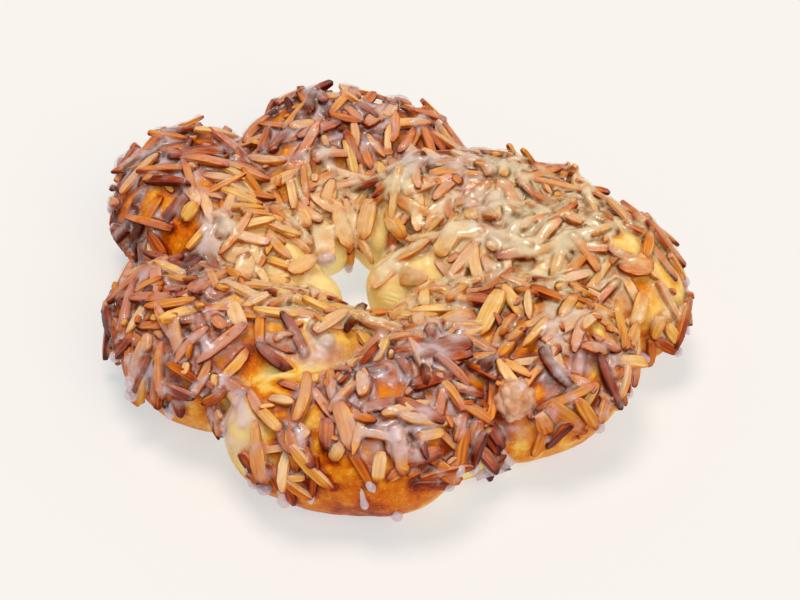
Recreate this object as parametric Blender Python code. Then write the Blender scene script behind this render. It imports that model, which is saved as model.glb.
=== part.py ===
"""An almond ring pastry: seven rolls of sweet dough laid over each other into a ring, baked under slivered almonds.

The dough is a torus whose every point is moved along its own ray onto the skin of the rolls.
The almonds are tapered sticks laid on that skin, and one union fuses them to the dough.
"""

import math
import random
from collections import namedtuple

import bmesh
import bpy
import numpy as np
from mathutils import Matrix, Vector

# Every length below is in millimetres. MM turns it into Blender's metres.
MM = 0.001

# The rolls are laid out round the hole. This shift brings the middle of the whole pastry to the origin.
CENTRE_SHIFT = (0.8, -5.3)

# Each roll is fat at its back, where it bends over the rim, and narrows to a nose that points into the hole.
Roll = namedtuple("Roll", "name start bend nose back neck tip nose_height")
ROLLS = (
    Roll("back_left", (-64, 60), (-81, 38), (-28, 0), 23, 17.4, 11.2, 18.5),
    Roll("back", (1, 73), (-44, 80), (-25, 39), 20.6, 18, 12.6, 15.5),
    Roll("back_right", (53, 36), (27, 47), (-2, 40), 17.6, 16, 13.4, 15.5),
    Roll("right", (70, 0), (71, 21), (2, 11), 22.4, 16.6, 11.4, 16),
    Roll("front_right", (35, -41), (67, -26), (13, -15), 22.6, 18.4, 13.6, 19.5),
    Roll("front", (-31, -54), (12, -72), (10, -23), 24, 19.4, 13.6, 19.5),
    Roll("left", (-68, -7), (-58, -39), (-11, -22), 23.2, 19.4, 12.7, 18.5),
)
STATIONS = (0, 0.4, 0.8, 1)
RIM_SHARE = 0.81
RIM_HEIGHT = 18
BACK_HEIGHT = 21.5
ROLL_STEPS = 15
FLATTENED_TOP = 0.82
SAGGED_UNDER = 1.1
FLOOR_CONTACT = 2.5
CREASE_BLEND = 2.4

# Under the rolls runs a ring of dough, an ellipse in plan, which closes the gaps between them.
BASE_CENTRE = (-4, 1)
BASE_HALF_AXES = (49, 54)
BASE_HEIGHT = 12.5
BASE_RADIUS = 15.5
BASE_STEPS = 25

# The hole is narrow and bent. Every ray starts on the base ring, in a plane through this upright axis.
HOLE_AXIS = (-13, 6)
AXIS_CLEARANCE = 1.5
FARTHEST_SKIN = 78
RAY_STEPS = 45

# Low swells left by hand shaping and proving: each wave's run along x, y and z, and its phase.
SWELL = 0.5
SWELL_WAVES = ((0.21, 0.09, 0.16, 0.4), (-0.10, 0.24, 0.12, 1.9), (0.15, -0.19, 0.23, 3.1))

# The torus is fine enough to catch the creases, and is then thinned where it is flat.
COLUMNS = 240
ROWS = 84
DOUGH_TRIANGLES = 4600
RING_TRIANGLES = 11800
FLOOR_SNAP = 0.25

# Slivered almonds: whole nuts cut lengthways into sticks, and now and then a broad flake.
SLIVERS = 205
SLIVER_SEED = 41
PLACES_TRIED = 6000
LENGTH_MEAN = 13.5
LENGTH_SPREAD = 3.4
LENGTH_LIMITS = (6, 21)
WIDTHS = (2.6, 4.3)
THICKNESSES = (1.5, 2.3)
FLAKE_SHARE = 0.09
FLAKE_SPREAD = (1.35, 1.75)
LOWEST_SLIVER = 9
STEEPEST_UNDER = -0.1
HOLE_KEEP_OUT = 23

# How an almond comes to rest: how deep it sinks into the crust and into another almond, how close beside
# another it may lie before it rides up on it, and how far it may tilt and rise.
PRESSED_IN = 0.75
BEDDED = 0.55
SIDE_CONTACT = 0.8
STEEPEST_TILT = 0.4
MOST_RISE = 2.4
SPOTS = np.linspace(-0.45, 0.45, 7)

# Almonds that catch the eye: near which point they lie, which way they run, and how far they stand up.
Feature = namedtuple("Feature", "near run length width thickness stand")
FEATURES = (
    Feature((-46, 76, 40), (7, 0, 0), 8, 4.4, 2.8, 0),
    Feature((-38, 77, 42), (-2, 5, 3), 9, 2.6, 2.2, 35),
    Feature((-66, 56, 42), (1, 3, 0), 9, 2.6, 2.2, 50),
    Feature((-87, 16, 24), (-5, -3, -20), 18, 3.4, 2.4, 0),
    Feature((-61, 4, 36), (-10, -13, -1), 15, 2.6, 2.2, 0),
    Feature((-84, -10, 29), (2, -5, 3), 8, 4.2, 2.6, 0),
    Feature((-39, 41, 35), (15, 6, 2), 16, 4.6, 2.2, 0),
    Feature((29, 10, 36), (6, -11, -2), 13, 5.0, 2.2, 0),
    Feature((39, 20, 38), (5, -3, 2), 7.5, 4.6, 2.6, 0),
    Feature((61, 14, 41), (12, -10, 0), 17, 2.7, 2.4, 0),
    Feature((-9, -37, 34), (11, -3, 5), 13, 3.2, 2.4, 6),
    Feature((-19, -65, 37), (9, -14, -2), 17, 3.2, 2.4, 0),
    Feature((-47, -44, 35), (7, 6, 5), 11, 3.7, 2.4, 0),
    Feature((-57, -46, 31), (5, 5, 9), 12, 3.2, 2.4, 0),
    Feature((80, -24, 12), (2, 2, -18), 14, 3.0, 2.2, 0),
    Feature((31, -31, 36), (5, 7, 6), 12, 3.3, 2.4, 8),
)

# Where the crust shows bare: a point on it, and how far from there no almond lies.
BARE_PATCHES = (
    ((-24, -44, 34), 11),
    ((-38, -50, 33), 9),
    ((-13, -36, 34), 8),
    ((-45, -62, 25), 9),
    ((-15, -80, 19), 9),
    ((2, -82, 17), 9),
    ((-68, 14, 34), 8),
    ((-56, 8, 35), 7),
    ((-34, 48, 37), 6),
    ((43, -55, 31), 6),
    ((33, -58, 22), 8),
    ((-24, 27, 21), 9),
    ((-6, 33, 24), 8),
    ((-2, 6, 25), 11),
    ((9, 9, 29), 7),
    ((-21, -3, 28), 8),
)

# A lump of nut and crumb is baked onto the front right roll.
LUMP_AT = (34, -54, 30)
LUMP_SIZE = (4.6, 5.2, 6.2)
LUMP_KNOBS = 0.14

CRUST = (0.56, 0.27, 0.08, 1.0)
CRUST_ROUGHNESS = 0.45

Tube = namedtuple("Tube", "path radius sag")


def roll_tube(roll):
    """One roll from the rim to its nose: its middle line, its radius, and how far it sags onto the floor."""
    t = np.linspace(0, 1, ROLL_STEPS)
    start, bend, nose = (np.array([point], float) for point in (roll.start, roll.bend, roll.nose))
    along = t[:, None]
    plan = (1 - along) ** 2 * start + 2 * along * (1 - along) * bend + along**2 * nose
    height = np.interp(t, STATIONS, (RIM_HEIGHT, BACK_HEIGHT, BACK_HEIGHT, roll.nose_height))
    radius = np.interp(t, STATIONS, (RIM_SHARE * roll.back, roll.back, roll.neck, roll.tip))
    sag = np.maximum(SAGGED_UNDER, (height + FLOOR_CONTACT) / radius)
    return Tube(np.column_stack([plan, height]), radius, sag)


def base_tube():
    """The closed ring under the rolls."""
    turn = np.linspace(0, 2 * math.pi, BASE_STEPS)
    x = BASE_CENTRE[0] + BASE_HALF_AXES[0] * np.cos(turn)
    y = BASE_CENTRE[1] + BASE_HALF_AXES[1] * np.sin(turn)
    full = np.ones(BASE_STEPS)
    return Tube(np.column_stack([x, y, BASE_HEIGHT * full]), BASE_RADIUS * full, SAGGED_UNDER * full)


TUBES = [roll_tube(roll) for roll in ROLLS] + [base_tube()]


def tube_gap(points, tube):
    """How far each point is outside a tapered tube, flattened on top and sagging below."""
    margin = tube.radius.max() * tube.sag.max()
    low = tube.path.min(0) - margin
    high = tube.path.max(0) + margin
    gap = np.linalg.norm(np.maximum(np.maximum(low - points, points - high), 0), axis=1)
    near = gap < CREASE_BLEND
    close = points[near]
    best = np.full(len(close), np.inf)
    for i in range(len(tube.path) - 1):
        step = tube.path[i + 1] - tube.path[i]
        t = np.clip((close - tube.path[i]) @ step / (step @ step), 0, 1)
        off = close - tube.path[i] - t[:, None] * step
        sag = tube.sag[i] + (tube.sag[i + 1] - tube.sag[i]) * t
        off[:, 2] /= np.where(off[:, 2] > 0, FLATTENED_TOP, sag)
        radius = tube.radius[i] + (tube.radius[i + 1] - tube.radius[i]) * t
        best = np.minimum(best, np.linalg.norm(off, axis=1) - radius)
    gap[near] = best
    gap[~near] += CREASE_BLEND
    return gap


def skin_gap(points):
    """How far each point is outside the dough. The two nearest rolls meet in a rounded crease."""
    gaps = np.sort([tube_gap(points, tube) for tube in TUBES], axis=0)
    share = np.clip(0.5 + 0.5 * (gaps[1] - gaps[0]) / CREASE_BLEND, 0, 1)
    gap = gaps[1] * (1 - share) + gaps[0] * share - CREASE_BLEND * share * (1 - share)
    for x, y, z, phase in SWELL_WAVES:
        gap = gap - SWELL * np.sin(points @ np.array([x, y, z]) + phase) / len(SWELL_WAVES)
    return np.maximum(gap, -points[:, 2])


def rays(azimuth, section):
    """For each pair of angles: a start on the base ring, a direction, and how far out the skin may be."""
    out = np.stack([np.cos(azimuth), np.sin(azimuth)], 1)
    offset = (np.array(HOLE_AXIS, float) - BASE_CENTRE) / BASE_HALF_AXES
    scaled = out / BASE_HALF_AXES
    square = (scaled**2).sum(1)
    cross = scaled @ offset
    reach = (np.sqrt(cross**2 - square * (offset @ offset - 1)) - cross) / square
    plan = np.array(HOLE_AXIS) + out * reach[:, None]
    start = np.column_stack([plan, np.full(len(reach), BASE_HEIGHT)])
    level = np.cos(section)
    direction = np.column_stack([out * level[:, None], np.sin(section)])
    to_axis = (reach - AXIS_CLEARANCE) / np.maximum(-level, 1e-6)
    return start, direction, np.minimum(FARTHEST_SKIN, to_axis)


def onto_skin(azimuth, section):
    """The outermost point of the dough on each ray."""
    start, direction, distance = rays(azimuth, section)
    for _ in range(RAY_STEPS):
        gap = skin_gap(start + direction * distance[:, None])
        distance = np.maximum(distance - 0.8 * np.maximum(gap, -1), 1)
    return start + direction * distance[:, None]


def facings(points):
    """The direction out of the dough at each point of its skin."""
    reach = 0.4
    steps = np.eye(3) * reach
    slope = np.stack([skin_gap(points + step) - skin_gap(points - step) for step in steps], 1)
    return slope / np.linalg.norm(slope, axis=1, keepdims=True)


def unit(vector):
    return vector / np.linalg.norm(vector)


def apply_modifiers(thing):
    graph = bpy.context.evaluated_depsgraph_get()
    mesh = bpy.data.meshes.new_from_object(thing.evaluated_get(graph))
    thing.modifiers.clear()
    thing.data = mesh


def thin_out(thing, triangles, now):
    """Brings a mesh down to fewer triangles, and keeps its underside flat on the floor."""
    thin = thing.modifiers.new("thin", "DECIMATE")
    thin.ratio = triangles / now
    apply_modifiers(thing)
    for vertex in thing.data.vertices:
        if vertex.co.z < FLOOR_SNAP * MM:
            vertex.co.z = 0


def make_dough():
    """The bare ring of rolls, flat where it lies on the floor."""
    bpy.ops.mesh.primitive_torus_add(
        major_segments=COLUMNS, minor_segments=ROWS, major_radius=1.0, minor_radius=0.5
    )
    dough = bpy.context.object
    points = np.array([vertex.co for vertex in dough.data.vertices])
    azimuth = np.arctan2(points[:, 1], points[:, 0])
    section = np.arctan2(points[:, 2], np.hypot(points[:, 0], points[:, 1]) - 1.0)
    dough.data.vertices.foreach_set("co", (onto_skin(azimuth, section) * MM).ravel())
    dough.data.update()
    thin_out(dough, DOUGH_TRIANGLES, 2 * COLUMNS * ROWS)
    return dough


def spread(points, taken, count):
    """Picks points in such an order that the first few already cover the whole, clear of those taken."""
    nearest = np.linalg.norm(points[:, None] - taken[None], axis=2).min(1)
    order = []
    while len(order) < count:
        order.append(int(nearest.argmax()))
        nearest = np.minimum(nearest, np.linalg.norm(points - points[order[-1]], axis=1))
    return order


def sliver_places(count, taken):
    """Evenly spread places for almonds, off the bare patches and the hole: each point and its facing."""
    draw = np.random.default_rng(SLIVER_SEED)
    azimuth = draw.uniform(-math.pi, math.pi, PLACES_TRIED)
    section = draw.uniform(math.radians(-30), math.radians(200), PLACES_TRIED)
    points = onto_skin(azimuth, section)
    facing = facings(points)
    keep = (points[:, 2] > LOWEST_SLIVER) & (facing[:, 2] > STEEPEST_UNDER)
    keep &= np.linalg.norm(points[:, :2] - HOLE_AXIS, axis=1) > HOLE_KEEP_OUT
    for centre, reach in BARE_PATCHES:
        keep &= np.linalg.norm(points - centre, axis=1) > reach
    points = points[keep]
    order = spread(points, taken, count)
    return points[order], facing[keep][order]


Sliver = namedtuple("Sliver", "index middle along out length width thickness stand")


def feature_sliver(index, feature):
    """One of the almonds that catch the eye, flat on the skin."""
    point = np.array([feature.near], float)
    for _ in range(4):
        point = point - facings(point) * skin_gap(point)[:, None]
    out = facings(point)[0]
    run = np.array(feature.run, float)
    along = unit(run - out * (run @ out))
    size = (feature.length, feature.width, feature.thickness)
    return Sliver(index, point[0], along, out, *size, math.tan(math.radians(feature.stand)))


def strewn_sliver(index, point, out):
    """One of the scattered almonds: it points downhill on a steep side, and any way on top."""
    draw = random.Random(SLIVER_SEED * 1000 + index)
    length = min(max(draw.gauss(LENGTH_MEAN, LENGTH_SPREAD), LENGTH_LIMITS[0]), LENGTH_LIMITS[1])
    width = draw.uniform(*WIDTHS)
    thickness = draw.uniform(*THICKNESSES)
    if draw.random() < FLAKE_SHARE:
        width *= draw.uniform(*FLAKE_SPREAD)
    downhill = unit(np.array([0, -0.02, -1]) + out * out[2])
    across = np.cross(out, downhill)
    slid = draw.random() < 0.9 - 0.6 * abs(out[2])
    turn = draw.gauss(0, math.radians(40)) if slid else draw.uniform(-math.pi, math.pi)
    along = downhill * math.cos(turn) + across * math.sin(turn)
    return Sliver(index, point, along, out, length, width, thickness, draw.gauss(0, 0.05))


def spots_along(sliver):
    """Points along an almond's middle line, short of its tips."""
    return sliver.middle + SPOTS[:, None] * sliver.length * sliver.along


def settle(sliver, gaps, spots, reach, rise):
    """The almond set down on the crust and on those laid before it, tilted so that both ends are held."""
    need = sliver.thickness / 2 - PRESSED_IN - gaps
    off = spots[None] - spots_along(sliver)[:, None]
    up = off @ sliver.out
    aside = np.sqrt(np.maximum((off**2).sum(2) - up**2, 0))
    beside = aside > SIDE_CONTACT * (reach + sliver.width / 2)
    over = up + rise + sliver.thickness / 2 - BEDDED
    need = np.maximum(need, np.where(beside, -MOST_RISE, over).max(1, initial=-MOST_RISE))
    tail, middle, head = need[:3].max(), need[2:5].max(), need[4:].max()
    tilt = np.clip((head - tail) / (0.7 * sliver.length), -STEEPEST_TILT, STEEPEST_TILT) + sliver.stand
    height = min(max(middle, (head + tail) / 2), MOST_RISE)
    along = unit(sliver.along + sliver.out * tilt)
    out = unit(sliver.out - along * (sliver.out @ along))
    return sliver._replace(middle=sliver.middle + sliver.out * height, along=along, out=out)


def lay_slivers(count):
    """All the almonds in the order in which they land."""
    flat = [feature_sliver(index, feature) for index, feature in enumerate(FEATURES)]
    taken = np.concatenate([spots_along(sliver) for sliver in flat])
    for point, out in zip(*sliver_places(count - len(flat), taken)):
        flat.append(strewn_sliver(len(flat), point, out))
    gaps = skin_gap(np.concatenate([spots_along(sliver) for sliver in flat])).reshape(count, -1)
    spots = np.zeros((count, len(SPOTS), 3))
    reach = np.repeat([sliver.width / 2 for sliver in flat], len(SPOTS))
    rise = np.repeat([sliver.thickness / 2 for sliver in flat], len(SPOTS))
    laid = []
    for index, sliver in enumerate(flat):
        before = index * len(SPOTS)
        sliver = settle(sliver, gaps[index], spots[:index].reshape(-1, 3), reach[:before], rise[:before])
        spots[index] = spots_along(sliver)
        laid.append(sliver)
    return laid


def sliver_object(sliver, into):
    """The almond as a closed stick of three rings of four corners, narrow at the ends and slightly bent."""
    draw = random.Random(SLIVER_SEED * 2000 + sliver.index)
    bend = draw.uniform(-0.07, 0.07) * sliver.length
    ends = {-1: draw.uniform(0.35, 0.7), 0: 1.0, 1: draw.uniform(0.15, 0.5)}
    body = bmesh.new()
    bmesh.ops.create_cube(body, size=1.0)
    lengthways = [edge for edge in body.edges if abs(edge.verts[0].co.x - edge.verts[1].co.x) > 0.5]
    bmesh.ops.subdivide_edges(body, edges=lengthways, cuts=1)
    for corner in body.verts:
        ring = round(corner.co.x * 2)
        corner.co.x *= sliver.length
        corner.co.y = corner.co.y * sliver.width * ends[ring] + bend * (1 - abs(ring))
        corner.co.z *= sliver.thickness * (0.4 + 0.6 * ends[ring])
    side = np.cross(sliver.out, sliver.along)
    place = Matrix(np.column_stack([sliver.along, side, sliver.out]).tolist()).to_4x4()
    place.translation = Vector(sliver.middle)
    body.transform(Matrix.Scale(MM, 4) @ place)
    add_topping(f"sliver_{sliver.index:03d}", body, into)


def lump_object(into):
    """The knobbly lump, a coarse ball with dents."""
    draw = random.Random(SLIVER_SEED)
    body = bmesh.new()
    bmesh.ops.create_icosphere(body, subdivisions=2, radius=1.0)
    for corner in body.verts:
        knob = 1 + draw.uniform(-LUMP_KNOBS, LUMP_KNOBS)
        corner.co = (Vector(LUMP_AT) + corner.co * Vector(LUMP_SIZE) * knob) * MM
    add_topping("lump", body, into)


def add_topping(name, body, into):
    mesh = bpy.data.meshes.new(name)
    body.to_mesh(mesh)
    body.free()
    into.objects.link(bpy.data.objects.new(name, mesh))


def fuse(dough, toppings):
    """One union joins the almonds to the dough, and the ring is thinned to its final triangles."""
    join = dough.modifiers.new("toppings", "BOOLEAN")
    join.operation = "UNION"
    join.operand_type = "COLLECTION"
    join.collection = toppings
    join.solver = "EXACT"
    apply_modifiers(dough)
    for thing in list(toppings.objects):
        bpy.data.objects.remove(thing)
    bpy.data.collections.remove(toppings)
    body = bmesh.new()
    body.from_mesh(dough.data)
    bmesh.ops.triangulate(body, faces=body.faces)
    keep_largest(body)
    triangles = len(body.faces)
    body.to_mesh(dough.data)
    body.free()
    thin_out(dough, RING_TRIANGLES, triangles)


def keep_largest(body):
    """Deletes every shell but the one with the most corners: loose scraps and sealed hollows."""
    shells = []
    seen = set()
    for first in body.verts:
        if first in seen:
            continue
        seen.add(first)
        shell = [first]
        for corner in shell:
            found = {edge.other_vert(corner) for edge in corner.link_edges} - seen
            seen |= found
            shell.extend(sorted(found, key=lambda vert: vert.index))
        shells.append(shell)
    shells.sort(key=len)
    for shell in shells[:-1]:
        bmesh.ops.delete(body, geom=shell, context="VERTS")


def crust_material():
    material = bpy.data.materials.new("baked_crust")
    material.use_nodes = True
    shader = material.node_tree.nodes["Principled BSDF"]
    shader.inputs["Base Color"].default_value = CRUST
    shader.inputs["Roughness"].default_value = CRUST_ROUGHNESS
    shader.inputs["Metallic"].default_value = 0.0
    return material


def main():
    for thing in list(bpy.data.objects):
        bpy.data.objects.remove(thing)
    pastry = bpy.data.collections.new("almond_ring_pastry")
    toppings = bpy.data.collections.new("toppings")
    bpy.context.scene.collection.children.link(pastry)
    bpy.context.scene.collection.children.link(toppings)
    dough = make_dough()
    for collection in list(dough.users_collection):
        collection.objects.unlink(dough)
    pastry.objects.link(dough)
    for sliver in lay_slivers(SLIVERS):
        sliver_object(sliver, toppings)
    lump_object(toppings)
    fuse(dough, toppings)
    dough.data.transform(Matrix.Translation(Vector((*CENTRE_SHIFT, 0)) * MM))
    dough.name = "almond_ring"
    dough.data.name = "almond_ring"
    dough.data.materials.clear()
    dough.data.materials.append(crust_material())


main()
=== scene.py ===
"""The looks of an almond ring pastry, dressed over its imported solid.

Lengths are in millimetres unless a name says otherwise, in the rolls' own place round the hole.
"""

import math
import random
from collections import namedtuple

import bmesh
import bpy
import numpy as np
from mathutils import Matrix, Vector, noise
from mathutils.bvhtree import BVHTree
from mathutils.kdtree import KDTree


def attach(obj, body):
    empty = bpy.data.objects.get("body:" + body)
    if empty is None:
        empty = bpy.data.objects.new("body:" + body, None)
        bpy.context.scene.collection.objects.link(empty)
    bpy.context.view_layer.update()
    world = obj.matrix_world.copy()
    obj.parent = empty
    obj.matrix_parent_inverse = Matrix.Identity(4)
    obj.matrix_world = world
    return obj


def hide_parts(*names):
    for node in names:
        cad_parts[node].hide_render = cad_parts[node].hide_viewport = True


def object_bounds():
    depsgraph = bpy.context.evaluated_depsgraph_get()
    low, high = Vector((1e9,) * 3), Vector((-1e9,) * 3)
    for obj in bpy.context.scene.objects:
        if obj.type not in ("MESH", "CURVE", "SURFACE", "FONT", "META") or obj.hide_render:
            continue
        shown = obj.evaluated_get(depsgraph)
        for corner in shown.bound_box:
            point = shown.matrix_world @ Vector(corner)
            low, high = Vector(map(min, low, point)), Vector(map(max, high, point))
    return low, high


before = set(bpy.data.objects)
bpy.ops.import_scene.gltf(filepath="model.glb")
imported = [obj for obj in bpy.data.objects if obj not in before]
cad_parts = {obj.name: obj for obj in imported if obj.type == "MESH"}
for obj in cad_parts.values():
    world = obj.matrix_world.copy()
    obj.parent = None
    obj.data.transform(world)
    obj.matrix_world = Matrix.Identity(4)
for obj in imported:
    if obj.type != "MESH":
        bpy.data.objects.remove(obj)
cad_bounds = [list(corner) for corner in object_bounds()]

# Camera: where the photograph was taken from, above and in front of the ring, with a long lens.
# It looks a little below the middle of the ring, as the picture is framed.
MM = 0.001
CAMERA_ELEVATION = 42
CAMERA_DISTANCE = 750
CAMERA_LENS = 110
CAMERA_TARGET = (1.6, -5.3, 20)

elevation = math.radians(CAMERA_ELEVATION)
camera = bpy.data.objects.new("camera", bpy.data.cameras.new("camera"))
bpy.context.scene.collection.objects.link(camera)
camera.data.lens = CAMERA_LENS
camera.data.sensor_width = 36
camera.data.clip_start = 0.01
back = Vector((0, -math.cos(elevation), math.sin(elevation)))
camera.location = (Vector(CAMERA_TARGET) + back * CAMERA_DISTANCE) * MM
camera.rotation_euler = (math.radians(90) - elevation, 0, 0)
bpy.context.scene.camera = camera

# Studio: a wide pale floor in an even, slightly warm surround, lit from above by a broad soft light and
# from the front right by a weaker one, so the shadow stays faint and close to the ring.
FLOOR_HALF_SIZE_M = 3.0
FLOOR_COLOUR = (0.43, 0.34, 0.305, 1)
FLOOR_GLOW = (0.472, 0.545, 0.559, 1)
SURROUND_COLOUR = (1.0, 0.95, 0.86, 1)
SURROUND_STRENGTH = 0.33
SOFT_LIGHTS = (
    ("soft_light_above", (-0.1, 0.12, 1.0), 24, 1.7),
    ("soft_light_front_right", (0.5, -0.8, 0.9), 40, 1.08),
)
LIGHT_COLOUR = (1.0, 0.955, 0.88)

world = bpy.data.worlds.new("surround")
bpy.context.scene.world = world
world.use_nodes = True
world.node_tree.nodes["Background"].inputs["Color"].default_value = SURROUND_COLOUR
world.node_tree.nodes["Background"].inputs["Strength"].default_value = SURROUND_STRENGTH
bpy.context.scene.view_settings.view_transform = "Standard"
for name, from_where, spread_degrees, strength in SOFT_LIGHTS:
    light = bpy.data.objects.new(name, bpy.data.lights.new(name, "SUN"))
    light.data.angle = math.radians(spread_degrees)
    light.data.energy = strength
    light.data.color = LIGHT_COLOUR
    light.rotation_euler = Vector(from_where).to_track_quat("Z", "Y").to_euler()
    bpy.context.scene.collection.objects.link(light)

bpy.ops.mesh.primitive_plane_add(size=2 * FLOOR_HALF_SIZE_M)
floor = bpy.context.object
floor.name = "floor"
floor_finish = bpy.data.materials.new("floor_paper")
floor_finish.use_nodes = True
floor_shader = floor_finish.node_tree.nodes["Principled BSDF"]
floor_shader.inputs["Base Color"].default_value = FLOOR_COLOUR
floor_shader.inputs["Emission Color"].default_value = FLOOR_GLOW
floor_shader.inputs["Emission Strength"].default_value = 1
floor_shader.inputs["Roughness"].default_value = 0.9
floor_shader.inputs["Specular IOR Level"].default_value = 0.1
floor.data.materials.append(floor_finish)

# Dough: seven rolls of sweet yeast dough laid over each other into a ring and baked as one.
# Each is fat where it bends over the rim and narrows to a nose at the hole. The skin is the same
# rule as the solid's, on a finer torus, with the small dimples of the crust added.
CENTRE_SHIFT = (0.8, -5.3)
Roll = namedtuple("Roll", "name start bend nose back neck tip nose_height")
ROLLS = (
    Roll("back_left", (-64, 60), (-81, 38), (-28, 0), 23, 17.4, 11.2, 18.5),
    Roll("back", (1, 73), (-44, 80), (-25, 39), 20.6, 18, 12.6, 15.5),
    Roll("back_right", (53, 36), (27, 47), (-2, 40), 17.6, 16, 13.4, 15.5),
    Roll("right", (70, 0), (71, 21), (2, 11), 22.4, 16.6, 11.4, 16),
    Roll("front_right", (35, -41), (67, -26), (13, -15), 22.6, 18.4, 13.6, 19.5),
    Roll("front", (-31, -54), (12, -72), (10, -23), 24, 19.4, 13.6, 19.5),
    Roll("left", (-68, -7), (-58, -39), (-11, -22), 23.2, 19.4, 12.7, 18.5),
)
STATIONS = (0, 0.4, 0.8, 1)
RIM_SHARE = 0.81
RIM_HEIGHT = 18
BACK_HEIGHT = 21.5
ROLL_STEPS = 15
FLATTENED_TOP = 0.82
SAGGED_UNDER = 1.1
FLOOR_CONTACT = 2.5
CREASE_BLEND = 2.4
BASE_CENTRE = (-4, 1)
BASE_HALF_AXES = (49, 54)
BASE_HEIGHT = 12.5
BASE_RADIUS = 15.5
BASE_STEPS = 25
HOLE_AXIS = (-13, 6)
AXIS_CLEARANCE = 1.5
FARTHEST_SKIN = 78
RAY_STEPS = 45
SWELL = 0.5
SWELL_WAVES = ((0.21, 0.09, 0.16, 0.4), (-0.10, 0.24, 0.12, 1.9), (0.15, -0.19, 0.23, 3.1))
DOUGH_COLUMNS = 256
DOUGH_ROWS = 180
UNDERSIDE_SHARE = 0.16
DIMPLE_DEPTH = 0.22
DIMPLE_SIZE = 7
# How brown the crust is, from 0 to 1: on the whole, its blotches (amount, size, seed), and the change
# at the hole, in the creases, on the right, and low on the left.
MEAN_BAKE = 0.66
BAKE_BLOTCHES = ((0.35, 24, 3), (0.25, 9, 4))
PALER_AT_HOLE = 0.75
HOLE_SIDE = (48, 26)
PALER_IN_CREASES = 0.65
PALER_ON_RIGHT = 0.3
RIGHT_SIDE = (35, 75)
BROWNER_AT_FOOT = 0.12
FOOT = (26, 10)
LEFT_SIDE = (30, 0)
# Places on the crust that the oven left paler or darker: centre, reach and change of bake.
BAKED_SPOTS = (
    ((-16, -82, 20), 20, -0.1),
    ((-46, -62, 24), 18, -0.8),
    ((-30, -48, 33), 14, -0.45),
    ((-68, 14, 34), 14, 0.1),
    ((24, -66, 12), 12, -0.35),
    ((70, 10, 30), 24, -0.25),
    # These two darken the crease between the front and front right rolls: partly the dark of its torn
    # crust, partly painted shade.
    ((16, -40, 30), 14, 0.45),
    ((25, -55, 26), 12, 0.8),
)
# Places that the glaze brush missed: centre and reach.
DRY_SPOTS = (
    ((-10, -80, 18), 24),
    ((-34, -48, 33), 14),
    ((-66, 14, 34), 16),
)

Tube = namedtuple("Tube", "path radius sag")


def roll_tube(roll):
    """One roll from the rim to its nose: its middle line, radius, and how far it sags onto the floor."""
    t = np.linspace(0, 1, ROLL_STEPS)
    start, bend, nose = (np.array([point], float) for point in (roll.start, roll.bend, roll.nose))
    along = t[:, None]
    plan = (1 - along) ** 2 * start + 2 * along * (1 - along) * bend + along**2 * nose
    height = np.interp(t, STATIONS, (RIM_HEIGHT, BACK_HEIGHT, BACK_HEIGHT, roll.nose_height))
    radius = np.interp(t, STATIONS, (RIM_SHARE * roll.back, roll.back, roll.neck, roll.tip))
    sag = np.maximum(SAGGED_UNDER, (height + FLOOR_CONTACT) / radius)
    return Tube(np.column_stack([plan, height]), radius, sag)


def base_tube():
    """The closed ring under the rolls."""
    turn = np.linspace(0, 2 * math.pi, BASE_STEPS)
    x = BASE_CENTRE[0] + BASE_HALF_AXES[0] * np.cos(turn)
    y = BASE_CENTRE[1] + BASE_HALF_AXES[1] * np.sin(turn)
    full = np.ones(BASE_STEPS)
    return Tube(np.column_stack([x, y, BASE_HEIGHT * full]), BASE_RADIUS * full, SAGGED_UNDER * full)


TUBES = [roll_tube(roll) for roll in ROLLS] + [base_tube()]


def tube_gap(points, tube):
    """How far each point is outside a tapered tube, flattened on top and sagging below."""
    margin = tube.radius.max() * tube.sag.max()
    low = tube.path.min(0) - margin
    high = tube.path.max(0) + margin
    gap = np.linalg.norm(np.maximum(np.maximum(low - points, points - high), 0), axis=1)
    near = gap < CREASE_BLEND
    close = points[near]
    best = np.full(len(close), np.inf)
    for i in range(len(tube.path) - 1):
        step = tube.path[i + 1] - tube.path[i]
        t = np.clip((close - tube.path[i]) @ step / (step @ step), 0, 1)
        off = close - tube.path[i] - t[:, None] * step
        sag = tube.sag[i] + (tube.sag[i + 1] - tube.sag[i]) * t
        off[:, 2] /= np.where(off[:, 2] > 0, FLATTENED_TOP, sag)
        radius = tube.radius[i] + (tube.radius[i + 1] - tube.radius[i]) * t
        best = np.minimum(best, np.linalg.norm(off, axis=1) - radius)
    gap[near] = best
    gap[~near] += CREASE_BLEND
    return gap


def skin_gap(points):
    """How far each point is outside the dough. The two nearest rolls meet in a rounded crease."""
    gaps = np.sort([tube_gap(points, tube) for tube in TUBES], axis=0)
    share = np.clip(0.5 + 0.5 * (gaps[1] - gaps[0]) / CREASE_BLEND, 0, 1)
    gap = gaps[1] * (1 - share) + gaps[0] * share - CREASE_BLEND * share * (1 - share)
    for x, y, z, phase in SWELL_WAVES:
        gap = gap - SWELL * np.sin(points @ np.array([x, y, z]) + phase) / len(SWELL_WAVES)
    return np.maximum(gap, -points[:, 2])


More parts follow.
